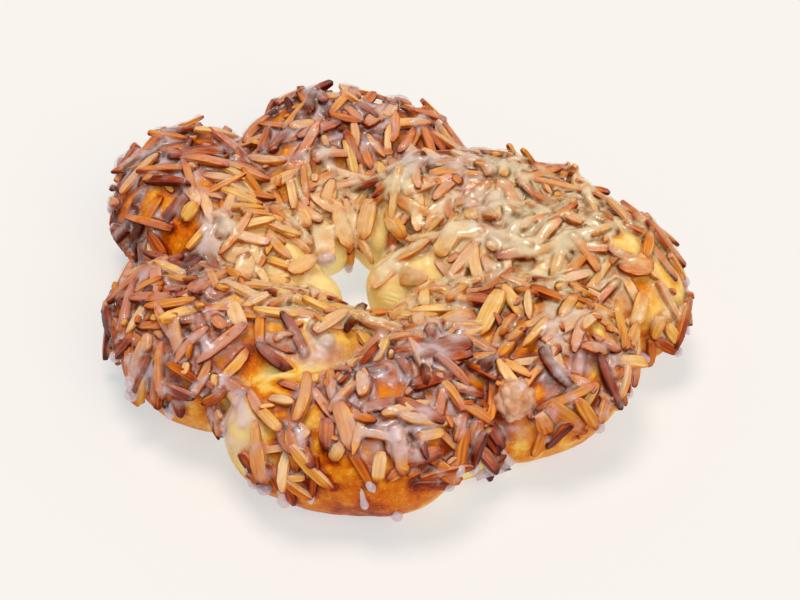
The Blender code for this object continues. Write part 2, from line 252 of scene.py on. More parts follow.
def rays(azimuth, section):
    """For each pair of angles: a start on the base ring, a direction, and how far out the skin may be."""
    out = np.stack([np.cos(azimuth), np.sin(azimuth)], 1)
    offset = (np.array(HOLE_AXIS, float) - BASE_CENTRE) / BASE_HALF_AXES
    scaled = out / BASE_HALF_AXES
    square = (scaled**2).sum(1)
    cross = scaled @ offset
    reach = (np.sqrt(cross**2 - square * (offset @ offset - 1)) - cross) / square
    plan = np.array(HOLE_AXIS) + out * reach[:, None]
    start = np.column_stack([plan, np.full(len(reach), BASE_HEIGHT)])
    level = np.cos(section)
    direction = np.column_stack([out * level[:, None], np.sin(section)])
    to_axis = (reach - AXIS_CLEARANCE) / np.maximum(-level, 1e-6)
    return start, direction, np.minimum(FARTHEST_SKIN, to_axis)


def onto_skin(azimuth, section):
    """The outermost point of the dough on each ray."""
    start, direction, distance = rays(azimuth, section)
    for _ in range(RAY_STEPS):
        gap = skin_gap(start + direction * distance[:, None])
        distance = np.maximum(distance - 0.8 * np.maximum(gap, -1), 1)
    return start + direction * distance[:, None]


def facings(points):
    """The direction out of the dough at each point of its skin."""
    reach = 0.4
    steps = np.eye(3) * reach
    slope = np.stack([skin_gap(points + step) - skin_gap(points - step) for step in steps], 1)
    return slope / np.linalg.norm(slope, axis=1, keepdims=True)


def crease_depth(points):
    """1 where two rolls meet, falling to 0 a few millimetres away on either."""
    gaps = np.sort([tube_gap(points, tube) for tube in TUBES], axis=0)
    return np.exp(-np.maximum(gaps[1] - gaps[0], 0) / 3.0)


def wander(points, size, seed):
    """Smooth random values about 0, one for each point, that change over about size millimetres."""
    shift = Vector((seed * 17.3, seed * 5.1, seed * 11.9))
    return np.array([noise.noise(Vector(point) / size + shift) for point in points])


def fade(values, low, high):
    """0 at low and 1 at high, with soft ends. low may be the larger."""
    share = np.clip((values - low) / (high - low), 0, 1)
    return share * share * (3 - 2 * share)


def corners(mesh):
    """The mesh's points as an array, in millimetres, in the rolls' own place."""
    flat = np.empty(len(mesh.vertices) * 3)
    mesh.vertices.foreach_get("co", flat)
    return flat.reshape(-1, 3) / MM - (*CENTRE_SHIFT, 0)


def move_corners(mesh, points):
    mesh.vertices.foreach_set("co", ((points + (*CENTRE_SHIFT, 0)) * MM).ravel())
    mesh.update()


def paint(mesh, name, values):
    """Stores one value for each corner, which the finish reads by name."""
    mesh.attributes.new(name, "FLOAT", "POINT").data.foreach_set("value", np.asarray(values, np.float32))


bpy.ops.mesh.primitive_torus_add(
    major_segments=DOUGH_COLUMNS, minor_segments=DOUGH_ROWS, major_radius=1.0, minor_radius=0.5
)
dough = bpy.context.object
dough.name = "dough"
torus = np.array([corner.co for corner in dough.data.vertices])
azimuth = np.arctan2(torus[:, 1], torus[:, 0])
section = np.arctan2(torus[:, 2], np.hypot(torus[:, 0], torus[:, 1]) - 1.0)
# Few rows go to the flat underside, from 30 degrees below level inwards, and the rest to what shows.
turn = (section / (2 * math.pi) + 1 / 12) % 1
shown = turn < 1 - UNDERSIDE_SHARE
turn = np.where(
    shown,
    turn / (1 - UNDERSIDE_SHARE) * 2 / 3,
    2 / 3 + (turn - 1 + UNDERSIDE_SHARE) / UNDERSIDE_SHARE / 3,
)
section = (turn - 1 / 12) * 2 * math.pi
skin = onto_skin(azimuth, section)
facing = facings(skin)
dimples = DIMPLE_DEPTH * (wander(skin, DIMPLE_SIZE, 1) + 0.6 * wander(skin, DIMPLE_SIZE / 2.3, 2))
dimples *= fade(skin[:, 2], 1.0, 4.0)
skin = skin + facing * dimples[:, None]
skin[:, 2] = np.maximum(skin[:, 2], 0)
move_corners(dough.data, skin)
dough.data.shade_smooth()

# How far each place is baked: noses, creases and the sheltered right side stay pale, and the outer
# sides and backs of the rolls go brown.
from_hole = np.linalg.norm(skin[:, :2] - HOLE_AXIS, axis=1)
bake = np.full(len(skin), MEAN_BAKE)
for amount, size, seed in BAKE_BLOTCHES:
    bake += amount * wander(skin, size, seed)
bake -= PALER_AT_HOLE * fade(from_hole, *HOLE_SIDE)
bake -= PALER_IN_CREASES * crease_depth(skin)
bake -= PALER_ON_RIGHT * fade(skin[:, 0], *RIGHT_SIDE)
bake += BROWNER_AT_FOOT * fade(skin[:, 2], *FOOT) * fade(skin[:, 0], *LEFT_SIDE)
for centre, reach, change in BAKED_SPOTS:
    bake += change * fade(np.linalg.norm(skin - centre, axis=1), reach, 0.3 * reach)
paint(dough.data, "bake", np.clip(bake, 0, 1))
glazed = np.ones(len(skin))
for centre, reach in DRY_SPOTS:
    glazed -= fade(np.linalg.norm(skin - centre, axis=1), reach, 0.5 * reach)
paint(dough.data, "glazed", np.clip(glazed, 0, 1) * fade(skin[:, 2], 12, 24))


def new_finish(name):
    """An empty material with its shader, for the nodes of one finish."""
    material = bpy.data.materials.new(name)
    material.use_nodes = True
    return material, material.node_tree, material.node_tree.nodes["Principled BSDF"]


def add(tree, kind, **settings):
    made = tree.nodes.new(kind)
    for name, value in settings.items():
        setattr(made, name, value)
    return made


def attribute(tree, name):
    return add(tree, "ShaderNodeAttribute", attribute_name=name).outputs["Fac"]


def remap(tree, value, low, high, to_low=0.0, to_high=1.0, bend="LINEAR"):
    """The value stretched from low..high to to_low..to_high, and clamped."""
    made = add(tree, "ShaderNodeMapRange", interpolation_type=bend)
    tree.links.new(value, made.inputs["Value"])
    for name, number in (("From Min", low), ("From Max", high), ("To Min", to_low), ("To Max", to_high)):
        made.inputs[name].default_value = number
    return made.outputs["Result"]


def calculate(tree, operation, first, second):
    made = add(tree, "ShaderNodeMath", operation=operation, use_clamp=True)
    for socket, value in zip(made.inputs, (first, second)):
        if isinstance(value, (int, float)):
            socket.default_value = value
        else:
            tree.links.new(value, socket)
    return made.outputs[0]


def mix_colour(tree, share, first, second):
    made = add(tree, "ShaderNodeMix", data_type="RGBA")
    for socket, value in zip((made.inputs[0], made.inputs[6], made.inputs[7]), (share, first, second)):
        if isinstance(value, bpy.types.NodeSocket):
            tree.links.new(value, socket)
        else:
            socket.default_value = value
    return made.outputs[2]


def ramp(tree, value, stops):
    """A run of colours: each stop is a place from 0 to 1 and a colour."""
    made = add(tree, "ShaderNodeValToRGB")
    elements = made.color_ramp.elements
    while len(elements) < len(stops):
        elements.new(0.5)
    for element, (place, colour) in zip(elements, stops):
        element.position = place
        element.color = colour
    tree.links.new(value, made.inputs["Fac"])
    return made.outputs["Color"]


def srgb(red, green, blue):
    """A colour as a screen shows it, 0 to 255, turned into the linear one that shaders use."""
    shares = [channel / 255 for channel in (red, green, blue)]
    linear = [c / 12.92 if c <= 0.04045 else ((c + 0.055) / 1.055) ** 2.4 for c in shares]
    return (*linear, 1.0)


def noise_value(tree, size, detail=3, roughness=0.55):
    """A noise whose lumps are about size millimetres across, in the pastry's own space."""
    place = add(tree, "ShaderNodeTexCoord").outputs["Object"]
    made = add(tree, "ShaderNodeTexNoise")
    tree.links.new(place, made.inputs["Vector"])
    made.inputs["Scale"].default_value = 1 / (size * MM)
    made.inputs["Detail"].default_value = detail
    made.inputs["Roughness"].default_value = roughness
    return made.outputs["Fac"]


def group_node(tree, group, **values):
    made = add(tree, "ShaderNodeGroup", node_tree=group)
    for name, value in values.items():
        if isinstance(value, bpy.types.NodeSocket):
            tree.links.new(value, made.inputs[name])
        else:
            made.inputs[name].default_value = value
    return made


def new_group(name, inputs, outputs):
    """A node group with number inputs (name to default) and number outputs."""
    group = bpy.data.node_groups.new(name, "ShaderNodeTree")
    for label, default in inputs.items():
        socket = group.interface.new_socket(label, in_out="INPUT", socket_type="NodeSocketFloat")
        socket.default_value = default
    for label in outputs:
        group.interface.new_socket(label, in_out="OUTPUT", socket_type="NodeSocketFloat")
    return group, group.nodes.new("NodeGroupInput"), group.nodes.new("NodeGroupOutput")


# Sugar film, shared by crust and nuts: thin glaze lies in patches on what faces up.
sugar_film, film_in, film_out = new_group("sugar_film", {"Amount": 0.5}, ("Film",))
patches = noise_value(sugar_film, 4.5, 5, 0.65)
upward = add(sugar_film, "ShaderNodeSeparateXYZ")
sugar_film.links.new(add(sugar_film, "ShaderNodeNewGeometry").outputs["Normal"], upward.inputs[0])
faces_up = remap(sugar_film, upward.outputs["Z"], 0.15, 0.75, 0.0, 1.0)
patchy = calculate(sugar_film, "ADD", patches, film_in.outputs["Amount"])
patchy = remap(sugar_film, patchy, 0.92, 1.08)
sugar_film.links.new(calculate(sugar_film, "MULTIPLY", patchy, faces_up), film_out.inputs["Film"])

# Oven mottle, shared by crust and crumbs: blotches of colour and fine pores.
oven_mottle, mottle_in, mottle_out = new_group("oven_mottle", {"Strength": 1.0}, ("Blotch", "Pores"))
blotch = remap(oven_mottle, noise_value(oven_mottle, 5, 6, 0.62), 0.3, 0.7, -0.5, 0.5)
strong = add(oven_mottle, "ShaderNodeMath", operation="MULTIPLY")
oven_mottle.links.new(blotch, strong.inputs[0])
oven_mottle.links.new(mottle_in.outputs["Strength"], strong.inputs[1])
oven_mottle.links.new(strong.outputs[0], mottle_out.inputs["Blotch"])
oven_mottle.links.new(noise_value(oven_mottle, 0.9, 5, 0.6), mottle_out.inputs["Pores"])

FILM_COLOUR = srgb(238, 200, 192)
crust_finish, tree, crust_shader = new_finish("baked_crust")
mottle = group_node(tree, oven_mottle, Strength=0.4)
baked = add(tree, "ShaderNodeMath", operation="ADD", use_clamp=True)
tree.links.new(attribute(tree, "bake"), baked.inputs[0])
tree.links.new(mottle.outputs["Blotch"], baked.inputs[1])
# Painted shade: the crust beside the almonds is darkened, where they shade it.
baked_and_shaded = calculate(
    tree, "ADD", baked.outputs[0], calculate(tree, "MULTIPLY", attribute(tree, "beside"), 0.36)
)
speckles = remap(tree, mottle.outputs["Pores"], 0.54, 0.66, 0.0, 0.2)
baked_and_shaded = calculate(tree, "SUBTRACT", baked_and_shaded, speckles)
crust_colour = ramp(
    tree,
    baked_and_shaded,
    (
        (0.0, srgb(255, 232, 160)),
        (0.25, srgb(252, 200, 92)),
        (0.5, srgb(232, 144, 20)),
        (0.75, srgb(208, 98, 0)),
        (1.0, srgb(142, 44, 0)),
    ),
)
film = group_node(tree, sugar_film, Amount=0.3).outputs["Film"]
film = calculate(tree, "MULTIPLY", film, attribute(tree, "glazed"))
tree.links.new(
    mix_colour(tree, calculate(tree, "MULTIPLY", film, 0.55), crust_colour, FILM_COLOUR),
    crust_shader.inputs["Base Color"],
)
tree.links.new(remap(tree, film, 0, 1, 0.42, 0.2), crust_shader.inputs["Roughness"])
pores = add(tree, "ShaderNodeBump")
pores.inputs["Strength"].default_value = 0.4
pores.inputs["Distance"].default_value = 0.3 * MM
tree.links.new(mottle.outputs["Pores"], pores.inputs["Height"])
tree.links.new(pores.outputs["Normal"], crust_shader.inputs["Normal"])
crust_shader.inputs["Subsurface Weight"].default_value = 0.06
crust_shader.inputs["Subsurface Radius"].default_value = (1.0, 0.5, 0.2)
crust_shader.inputs["Subsurface Scale"].default_value = 1.5 * MM
crust_shader.inputs["Specular IOR Level"].default_value = 0.1
tree.links.new(calculate(tree, "MULTIPLY", film, 0.4), crust_shader.inputs["Coat Weight"])
crust_shader.inputs["Coat Roughness"].default_value = 0.22
dough.data.materials.append(crust_finish)
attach(dough, "root")
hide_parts("almond_ring")

# Almond slivers: blanched nuts cut lengthways into sticks and flakes, strewn on the wet dough and
# toasted with it. They lie on the crust and on each other, the first of them where the solid has
# them, and the others fill in between by the same rule.
SLIVERS = 760
SLIVER_SEED = 41
PLACES_TRIED = 6000
LENGTH_MEAN = 13.5
LENGTH_SPREAD = 3.4
LENGTH_LIMITS = (6, 21)
WIDTHS = (2.6, 4.3)
THICKNESSES = (1.5, 2.3)
FLAKE_SHARE = 0.09
FLAKE_SPREAD = (1.35, 1.75)
PRESSED_IN = 0.75
BEDDED = 0.55
SIDE_CONTACT = 0.8
STEEPEST_TILT = 0.4
MOST_RISE = 2.4
SPOTS = np.linspace(-0.45, 0.45, 7)
LOWEST_SLIVER = 9
STEEPEST_UNDER = -0.1
HOLE_KEEP_OUT = 23
FIRST_LAYER = 205
UPPER_LAYER_STAND = 3
COATINGS = (0.1, 0.35, 0.6, 0.85)
CHIP_SEED = 43
CHIP_PLACES = 700
CHIP_SIZES = ((2.2, 5.0), (1.5, 2.7), (1.2, 2.0))
# Painted shade on the crust beside an almond: the distances at which it starts and at which it is full.
CONTACT_SHADE_REACH = (3.0, 1.9)
# Near the hole the painted shade beside and under the almonds fades out, over these distances from its
# middle.
SHADE_FADES_NEAR_HOLE = (52, 32)
# How far the oven took the almonds: on the whole, and more towards the left and the back.
MEAN_HEAT = 0.31
HEAT_TO_RIGHT = -0.0018
HEAT_TO_BACK = 0.0004
HEAT_SPREAD = 0.22
HOT_SPOT = (18, -48)
MOST_TOASTED = 0.9
TIP_TOAST = 0.2
FIBRE_TOAST = 0.24
# Painted shade on the almonds: how much darker the parts lying in the crust and the sides turned away from
# the top are coloured.
PAINTED_BEDDED_SHADE = 0.4
PAINTED_SIDE_SHADE = 0.32

Feature = namedtuple("Feature", "near run length width thickness stand toast")
FEATURES = (
    Feature((-46, 76, 40), (7, 0, 0), 8, 4.4, 2.8, 0, 1.0),
    Feature((-38, 77, 42), (-2, 5, 3), 9, 2.6, 2.2, 35, 0.9),
    Feature((-66, 56, 42), (1, 3, 0), 9, 2.6, 2.2, 50, 0.8),
    Feature((-87, 16, 24), (-5, -3, -20), 18, 3.4, 2.4, 0, 1.0),
    Feature((-61, 4, 36), (-10, -13, -1), 15, 2.6, 2.2, 0, 0.9),
    Feature((-84, -10, 29), (2, -5, 3), 8, 4.2, 2.6, 0, 0.8),
    Feature((-39, 41, 35), (15, 6, 2), 16, 4.6, 2.2, 0, 0.1),
    Feature((29, 10, 36), (6, -11, -2), 13, 5.0, 2.2, 0, 0.4),
    Feature((39, 20, 38), (5, -3, 2), 7.5, 4.6, 2.6, 0, 1.0),
    Feature((61, 14, 41), (12, -10, 0), 17, 2.7, 2.4, 0, 0.7),
    Feature((-9, -37, 34), (11, -3, 5), 13, 3.2, 2.4, 6, 1.0),
    Feature((-19, -65, 37), (9, -14, -2), 17, 3.2, 2.4, 0, 0.35),
    Feature((-47, -44, 35), (7, 6, 5), 11, 3.7, 2.4, 0, 0.2),
    Feature((-57, -46, 31), (5, 5, 9), 12, 3.2, 2.4, 0, 0.3),
    Feature((80, -24, 12), (2, 2, -18), 14, 3.0, 2.2, 0, 0.2),
    Feature((31, -31, 36), (5, 7, 6), 12, 3.3, 2.4, 8, 0.25),
)
BARE_PATCHES = (
    ((-24, -44, 34), 11),
    ((-38, -50, 33), 9),
    ((-13, -36, 34), 8),
    ((-45, -62, 25), 9),
    ((-15, -80, 19), 9),
    ((2, -82, 17), 9),
    ((-68, 14, 34), 8),
    ((-56, 8, 35), 7),
    ((-34, 48, 37), 6),
    ((43, -55, 31), 6),
    ((33, -58, 22), 8),
    ((-24, 27, 21), 9),
    ((-6, 33, 24), 8),
    ((-2, 6, 25), 11),
    ((9, 9, 29), 7),
    ((-21, -3, 28), 8),
)

# Almonds laid last, over the others: broad flakes on the noses, and sticks that lie across the tops.
LAST_FEATURES = (
    Feature((-24, 27, 21), (3, -9, -9), 15, 7.6, 1.5, 0, 0.05),
    Feature((-31, 33, 28), (7, -8, -5), 14, 6.6, 1.5, 0, 0.1),
    Feature((-17, 30, 23), (4, -8, -8), 13, 6.2, 1.4, 4, 0.05),
    Feature((-29, 24, 15), (-2, -4, -10), 11, 5.6, 1.4, 0, 0.15),
    Feature((-22, 36, 29), (10, -5, 1), 13, 5.6, 1.5, 4, 0.15),
    Feature((-9, 33, 24), (-2, -8, -8), 13, 6.4, 1.4, 0, 0.05),
    Feature((0, 29, 26), (7, -7, -4), 12, 5.8, 1.4, 3, 0.15),
    Feature((-5, 38, 29), (9, 4, 1), 12, 5.0, 1.5, 4, 0.3),
    Feature((6, 33, 29), (8, -5, -1), 13, 4.6, 1.6, 3, 0.35),
    Feature((-24, -6, 27), (-7, 4, -4), 12, 5.4, 1.5, 0, 0.15),
    Feature((-30, 4, 28), (6, 8, -3), 12, 5.6, 1.5, 2, 0.1),
    Feature((-3, 8, 24), (9, 5, 1), 13, 6.2, 1.4, 0, 0.0),
    Feature((5, 4, 25), (10, -2, 1), 14, 6.0, 1.4, 2, 0.1),
    Feature((5, 12, 28), (10, 1, 0), 14, 5.0, 1.5, 3, 0.15),
    Feature((6, -68, 38), (11, -4, -1), 15, 4.4, 2.2, 3, 0.6),
    Feature((12, -73, 23), (10, 6, -18), 13, 4.6, 2.0, 0, 0.2),
    Feature((0, -76, 32), (2, -8, -12), 15, 4.8, 2.0, 0, 0.25),
    Feature((-30, -70, 30), (12, -7, -9), 14, 3.4, 2.2, 0, 0.5),
    Feature((-14, -70, 33), (4, -9, -9), 14, 5.8, 1.6, 0, 0.3),
    Feature((-71, 31, 41), (13, -6, 1), 17, 3.8, 2.2, 3, 0.75),
    Feature((-73, -19, 37), (16, -9, 9), 18, 4.2, 2.2, 3, 0.5),
    Feature((46, -47, 36), (8, -8, -6), 15, 3.6, 2.4, 3, 0.85),
    Feature((24, -20, 37), (12, -7, 3), 16, 4.2, 2.2, 3, 0.55),
    Feature((4, 51, 34), (9, -6, 2), 14, 3.8, 2.2, 3, 0.6),
    Feature((58, 2, 39), (14, -3, 0), 17, 4.0, 2.2, 3, 0.45),
    Feature((44, 4, 38), (13, 3, 1), 16, 3.6, 2.2, 3, 0.2),
)

Sliver = namedtuple("Sliver", "index middle along out length width thickness stand toast")


def unit(vector):
    return vector / np.linalg.norm(vector)


def spread(points, taken, count):
    """Picks points in such an order that the first few already cover the whole, clear of those taken."""
    nearest = np.linalg.norm(points[:, None] - taken[None], axis=2).min(1)
    order = []
    while len(order) < count:
        order.append(int(nearest.argmax()))
        nearest = np.minimum(nearest, np.linalg.norm(points - points[order[-1]], axis=1))
    return order


def open_places(seed, tried):
    """Random places for almonds, off the bare patches and the hole: each point and its facing."""
    draw = np.random.default_rng(seed)
    azimuth = draw.uniform(-math.pi, math.pi, tried)
    section = draw.uniform(math.radians(-30), math.radians(200), tried)
    points = onto_skin(azimuth, section)
    facing = facings(points)
    keep = (points[:, 2] > LOWEST_SLIVER) & (facing[:, 2] > STEEPEST_UNDER)
    keep &= np.linalg.norm(points[:, :2] - HOLE_AXIS, axis=1) > HOLE_KEEP_OUT
    for centre, reach in BARE_PATCHES:
        keep &= np.linalg.norm(points - centre, axis=1) > reach
    return points[keep], facing[keep]


def feature_sliver(index, feature):
    """One of the almonds that catch the eye, flat on the skin."""
    point = np.array([feature.near], float)
    for _ in range(4):
        point = point - facings(point) * skin_gap(point)[:, None]
    out = facings(point)[0]
    run = np.array(feature.run, float)
    along = unit(run - out * (run @ out))
    stand = math.tan(math.radians(feature.stand))
    size = (feature.length, feature.width, feature.thickness)
    return Sliver(index, point[0], along, out, *size, stand, feature.toast)


def strewn_sliver(index, point, out):
    """One of the scattered almonds: it points downhill on a steep side, and any way on top."""
    draw = random.Random(SLIVER_SEED * 1000 + index)
    length = min(max(draw.gauss(LENGTH_MEAN, LENGTH_SPREAD), LENGTH_LIMITS[0]), LENGTH_LIMITS[1])
    width = draw.uniform(*WIDTHS)
    thickness = draw.uniform(*THICKNESSES)
    if draw.random() < FLAKE_SHARE:
        width *= draw.uniform(*FLAKE_SPREAD)
    downhill = unit(np.array([0, -0.02, -1]) + out * out[2])
    across = np.cross(out, downhill)
    slid = draw.random() < 0.9 - 0.6 * abs(out[2])
    turn = draw.gauss(0, math.radians(40)) if slid else draw.uniform(-math.pi, math.pi)
    along = downhill * math.cos(turn) + across * math.sin(turn)
    stand = draw.gauss(0, 0.05) * (1 if index < FIRST_LAYER else UPPER_LAYER_STAND)
    heat = MEAN_HEAT + HEAT_TO_RIGHT * point[0] + HEAT_TO_BACK * point[1]
    heat += 0.3 * fade(np.linalg.norm(point[:2] - HOT_SPOT), 24, 8)
    heat -= 0.25 * fade(np.linalg.norm(point[:2] - HOLE_AXIS), 52, 30)
    toast = min(max(draw.gauss(heat, HEAT_SPREAD), 0), MOST_TOASTED)
    return Sliver(index, point, along, out, length, width, thickness, stand, toast)


def chip(index, point, out):
    """A broken bit of almond, lying any way round."""
    draw = random.Random(CHIP_SEED * 1000 + index)
    size = [draw.uniform(*limits) for limits in CHIP_SIZES]
    turn = draw.uniform(-math.pi, math.pi)
    level = unit(np.cross(out, (0.1, 0.2, 1)))
    along = level * math.cos(turn) + np.cross(out, level) * math.sin(turn)
    toast = min(max(draw.gauss(0.32, 0.18), 0), 0.7)
    return Sliver(index, point, along, out, *size, draw.gauss(0, 0.15), toast)


def spots_along(sliver):
    """Points along an almond's middle line, short of its tips."""
    return sliver.middle + SPOTS[:, None] * sliver.length * sliver.along


def settle(sliver, gaps, spots, reach, rise):
    """The almond set down on the crust and on those laid before it, tilted so that both ends are held."""
    need = sliver.thickness / 2 - PRESSED_IN - gaps
    off = spots[None] - spots_along(sliver)[:, None]
    up = off @ sliver.out
    aside = np.sqrt(np.maximum((off**2).sum(2) - up**2, 0))
    beside = aside > SIDE_CONTACT * (reach + sliver.width / 2)
    over = up + rise + sliver.thickness / 2 - BEDDED
    need = np.maximum(need, np.where(beside, -MOST_RISE, over).max(1, initial=-MOST_RISE))
    tail, middle, head = need[:3].max(), need[2:5].max(), need[4:].max()
    tilt = np.clip((head - tail) / (0.7 * sliver.length), -STEEPEST_TILT, STEEPEST_TILT) + sliver.stand
    height = min(max(middle, (head + tail) / 2), MOST_RISE)
    along = unit(sliver.along + sliver.out * tilt)
    out = unit(sliver.out - along * (sliver.out @ along))
    return sliver._replace(middle=sliver.middle + sliver.out * height, along=along, out=out)


def lay_slivers(count):
    """All the almonds in the order in which they land."""
    flat = [feature_sliver(index, feature) for index, feature in enumerate(FEATURES)]
    taken = np.concatenate([spots_along(sliver) for sliver in flat])
    points, facing = open_places(SLIVER_SEED, PLACES_TRIED)
    for place in spread(points, taken, count - len(flat)):
        flat.append(strewn_sliver(len(flat), points[place], facing[place]))
    for feature in LAST_FEATURES:
        flat.append(feature_sliver(len(flat), feature))
    for point, out in zip(*open_places(CHIP_SEED, CHIP_PLACES)):
        flat.append(chip(len(flat), point, out))
    gaps = skin_gap(np.concatenate([spots_along(sliver) for sliver in flat])).reshape(len(flat), -1)
    spots = np.zeros((len(flat), len(SPOTS), 3))
    reach = np.repeat([sliver.width / 2 for sliver in flat], len(SPOTS))
    rise = np.repeat([sliver.thickness / 2 for sliver in flat], len(SPOTS))
    laid = []
    for index, sliver in enumerate(flat):
        before = index * len(SPOTS)
        sliver = settle(sliver, gaps[index], spots[:index].reshape(-1, 3), reach[:before], rise[:before])
        spots[index] = spots_along(sliver)
        laid.append(sliver)
    return laid


# The outline of a cut stick, as shares of its half width and half thickness: a box with its edges off.
STICK_OUTLINE = ((1, -0.7), (1, 0.7), (0.82, 1), (-0.82, 1), (-1, 0.7), (-1, -0.7), (-0.82, -1), (0.82, -1))
STICK_RINGS = (-1, -0.94, -0.6, 0, 0.6, 0.94, 1)
BLUNT_TIP = 0.7
# The nut's fibres run lengthways: their noise changes slowly along it and fast across.
FIBRE_FREQUENCY = (0.1, 1.1, 1.1)
FIBRE_SHIFT = 7.3
SLIMMED = 0.9
SHARPEST_SMOOTH = 35


def sliver_corners(sliver):
    """The corners of one almond, in the ring and in its own frame: flat faces, narrow ends, a slight
    bend, arch and twist."""
    draw = random.Random(SLIVER_SEED * 2000 + sliver.index)
    bend = draw.uniform(-0.07, 0.07) * sliver.length
    tail = draw.uniform(0.35, 0.7)
    head = draw.uniform(0.15, 0.5)
    arch = draw.uniform(-0.02, 0.05) * sliver.length
    twist = draw.gauss(0, 0.18)
    belly = draw.uniform(2.2, 4.5)
    t = np.array(STICK_RINGS, float)
    end = np.where(t < 0, tail, head)
    width = end + (1 - end) * (1 - np.abs(t) ** belly)
    tip = np.where(np.abs(t) < 1, 1, BLUNT_TIP)
    outline = np.array(STICK_OUTLINE, float)
    y = outline[None, :, 0] * (width * tip * SLIMMED * sliver.width / 2)[:, None]
    z = outline[None, :, 1] * ((0.4 + 0.6 * width) * tip * sliver.thickness / 2)[:, None]
    lean = (twist * t)[:, None]
    y, z = y * np.cos(lean) - z * np.sin(lean), y * np.sin(lean) + z * np.cos(lean)
    y = y + (bend * (1 - t**2))[:, None]
    z = z + (arch * (0.4 - t**2))[:, None]
    x = np.repeat((t * sliver.length / 2)[:, None], len(outline), 1)
    frame_of_stick = np.stack([sliver.along, np.cross(sliver.out, sliver.along), sliver.out])
    own = np.stack([x, y, z], 2).reshape(-1, 3)
    return sliver.middle + own @ frame_of_stick, own


def ring_faces(rings, sides):
    """The faces of a closed form made of rings of corners: bands between them, and a cap at each end."""
    faces = [tuple(range(sides))[::-1]]
    for low in range(0, (rings - 1) * sides, sides):
        for i in range(sides):
            j = (i + 1) % sides
            faces.append((low + i, low + j, low + sides + j, low + sides + i))
    faces.append(tuple(range((rings - 1) * sides, rings * sides)))
    return faces


def add_piece(name, shapes, faces, sharpest):
    """A new mesh piece of the pastry, of many shapes that share the same faces."""
    each = len(shapes[0])
    points = (np.concatenate(shapes) + (*CENTRE_SHIFT, 0)) * MM
    mesh = bpy.data.meshes.new(name)
    all_faces = [tuple(n * each + i for i in face) for n in range(len(shapes)) for face in faces]
    mesh.from_pydata(points.tolist(), [], all_faces)
    mesh.shade_smooth()
    mesh.set_sharp_from_angle(angle=math.radians(sharpest))
    piece = bpy.data.objects.new(name, mesh)
    bpy.context.scene.collection.objects.link(piece)
    return piece


slivers = lay_slivers(SLIVERS)
lowest, highest = (np.array(corner) / MM - (*CENTRE_SHIFT, 0) for corner in cad_bounds)
shapes = []
kept = []
fibres = []
for sliver in slivers:
    shape, own = sliver_corners(sliver)
    if (shape > lowest - 0.5).all() and (shape < highest + 0.5).all():
        shapes.append(shape)
        kept.append(sliver)
        fibres.append(own * FIBRE_FREQUENCY + (0, 0, FIBRE_SHIFT * sliver.index))
sides = len(STICK_OUTLINE)
almonds = add_piece("almond_slivers", shapes, ring_faces(len(STICK_RINGS), sides), SHARPEST_SMOOTH)
paint(almonds.data, "toast", np.repeat([sliver.toast for sliver in kept], len(shapes[0])))
paint(almonds.data, "tip", np.tile(np.abs(STICK_RINGS).repeat(sides), len(shapes)))
fibre_store = almonds.data.attributes.new("fibre", "FLOAT_VECTOR", "POINT").data
fibre_store.foreach_set("vector", np.concatenate(fibres).ravel().astype(np.float32))
# How much glaze each almond caught, and which parts of it lie down in the crust, which get painted shade.
draw = random.Random(SLIVER_SEED * 3000)
coated = [draw.choice(COATINGS) * draw.uniform(0.7, 1.3) * (1 - 0.9 * sliver.toast) for sliver in kept]
paint(almonds.data, "coated", np.repeat(coated, len(shapes[0])))
nut_points = np.concatenate(shapes)
sheltered = fade(np.linalg.norm(nut_points[:, :2] - HOLE_AXIS, axis=1), *SHADE_FADES_NEAR_HOLE)
paint(almonds.data, "bedded", fade(skin_gap(nut_points), 1.6, 0.2) * (1 - 0.8 * sheltered))

# The crust within a millimetre or two of an almond is marked for painted shade, which darkens it in its
# finish; the shade fades out near the hole.
spot_tree = KDTree(len(kept) * len(SPOTS))
for n, spot in enumerate(np.concatenate([spots_along(sliver) for sliver in kept])):
    spot_tree.insert(Vector(spot), n)
spot_tree.balance()
to_spot = np.array([spot_tree.find(Vector(point))[2] for point in corners(dough.data)])
paint(dough.data, "beside", fade(to_spot, *CONTACT_SHADE_REACH) * (1 - 0.8 * fade(from_hole, *SHADE_FADES_NEAR_HOLE)))

NUT_FILM_COLOUR = srgb(230, 204, 210)
almond_finish, tree, almond_shader = new_finish("toasted_almond")
# Tips browned more than tops; the parts that lie in the crust and the sides turned away from the top get
# painted shade.
toast = attribute(tree, "toast")
toast = calculate(tree, "ADD", toast, remap(tree, attribute(tree, "tip"), 0.6, 1.0, 0.0, TIP_TOAST))
fibre = add(tree, "ShaderNodeTexNoise")
fibre_place = add(tree, "ShaderNodeAttribute", attribute_name="fibre").outputs["Vector"]
tree.links.new(fibre_place, fibre.inputs["Vector"])
fibre.inputs["Scale"].default_value = 1
fibre.inputs["Detail"].default_value = 3
toast = calculate(tree, "ADD", toast, remap(tree, fibre.outputs["Fac"], 0.35, 0.65, 0.0, FIBRE_TOAST))
toast = calculate(tree, "ADD", toast, calculate(tree, "MULTIPLY", attribute(tree, "bedded"), PAINTED_BEDDED_SHADE))
upward = add(tree, "ShaderNodeSeparateXYZ")
tree.links.new(add(tree, "ShaderNodeNewGeometry").outputs["Normal"], upward.inputs[0])
toast = calculate(tree, "ADD", toast, remap(tree, upward.outputs["Z"], 0.6, -0.1, 0.0, PAINTED_SIDE_SHADE))
almond_colour = ramp(
    tree,
    toast,
    (
        (0.0, srgb(252, 218, 148)),
        (0.28, srgb(236, 174, 74)),
        (0.55, srgb(214, 114, 18)),
        (0.8, srgb(158, 50, 0)),
        (1.0, srgb(82, 18, 2)),
    ),
)
film = group_node(tree, sugar_film, Amount=0.55).outputs["Film"]
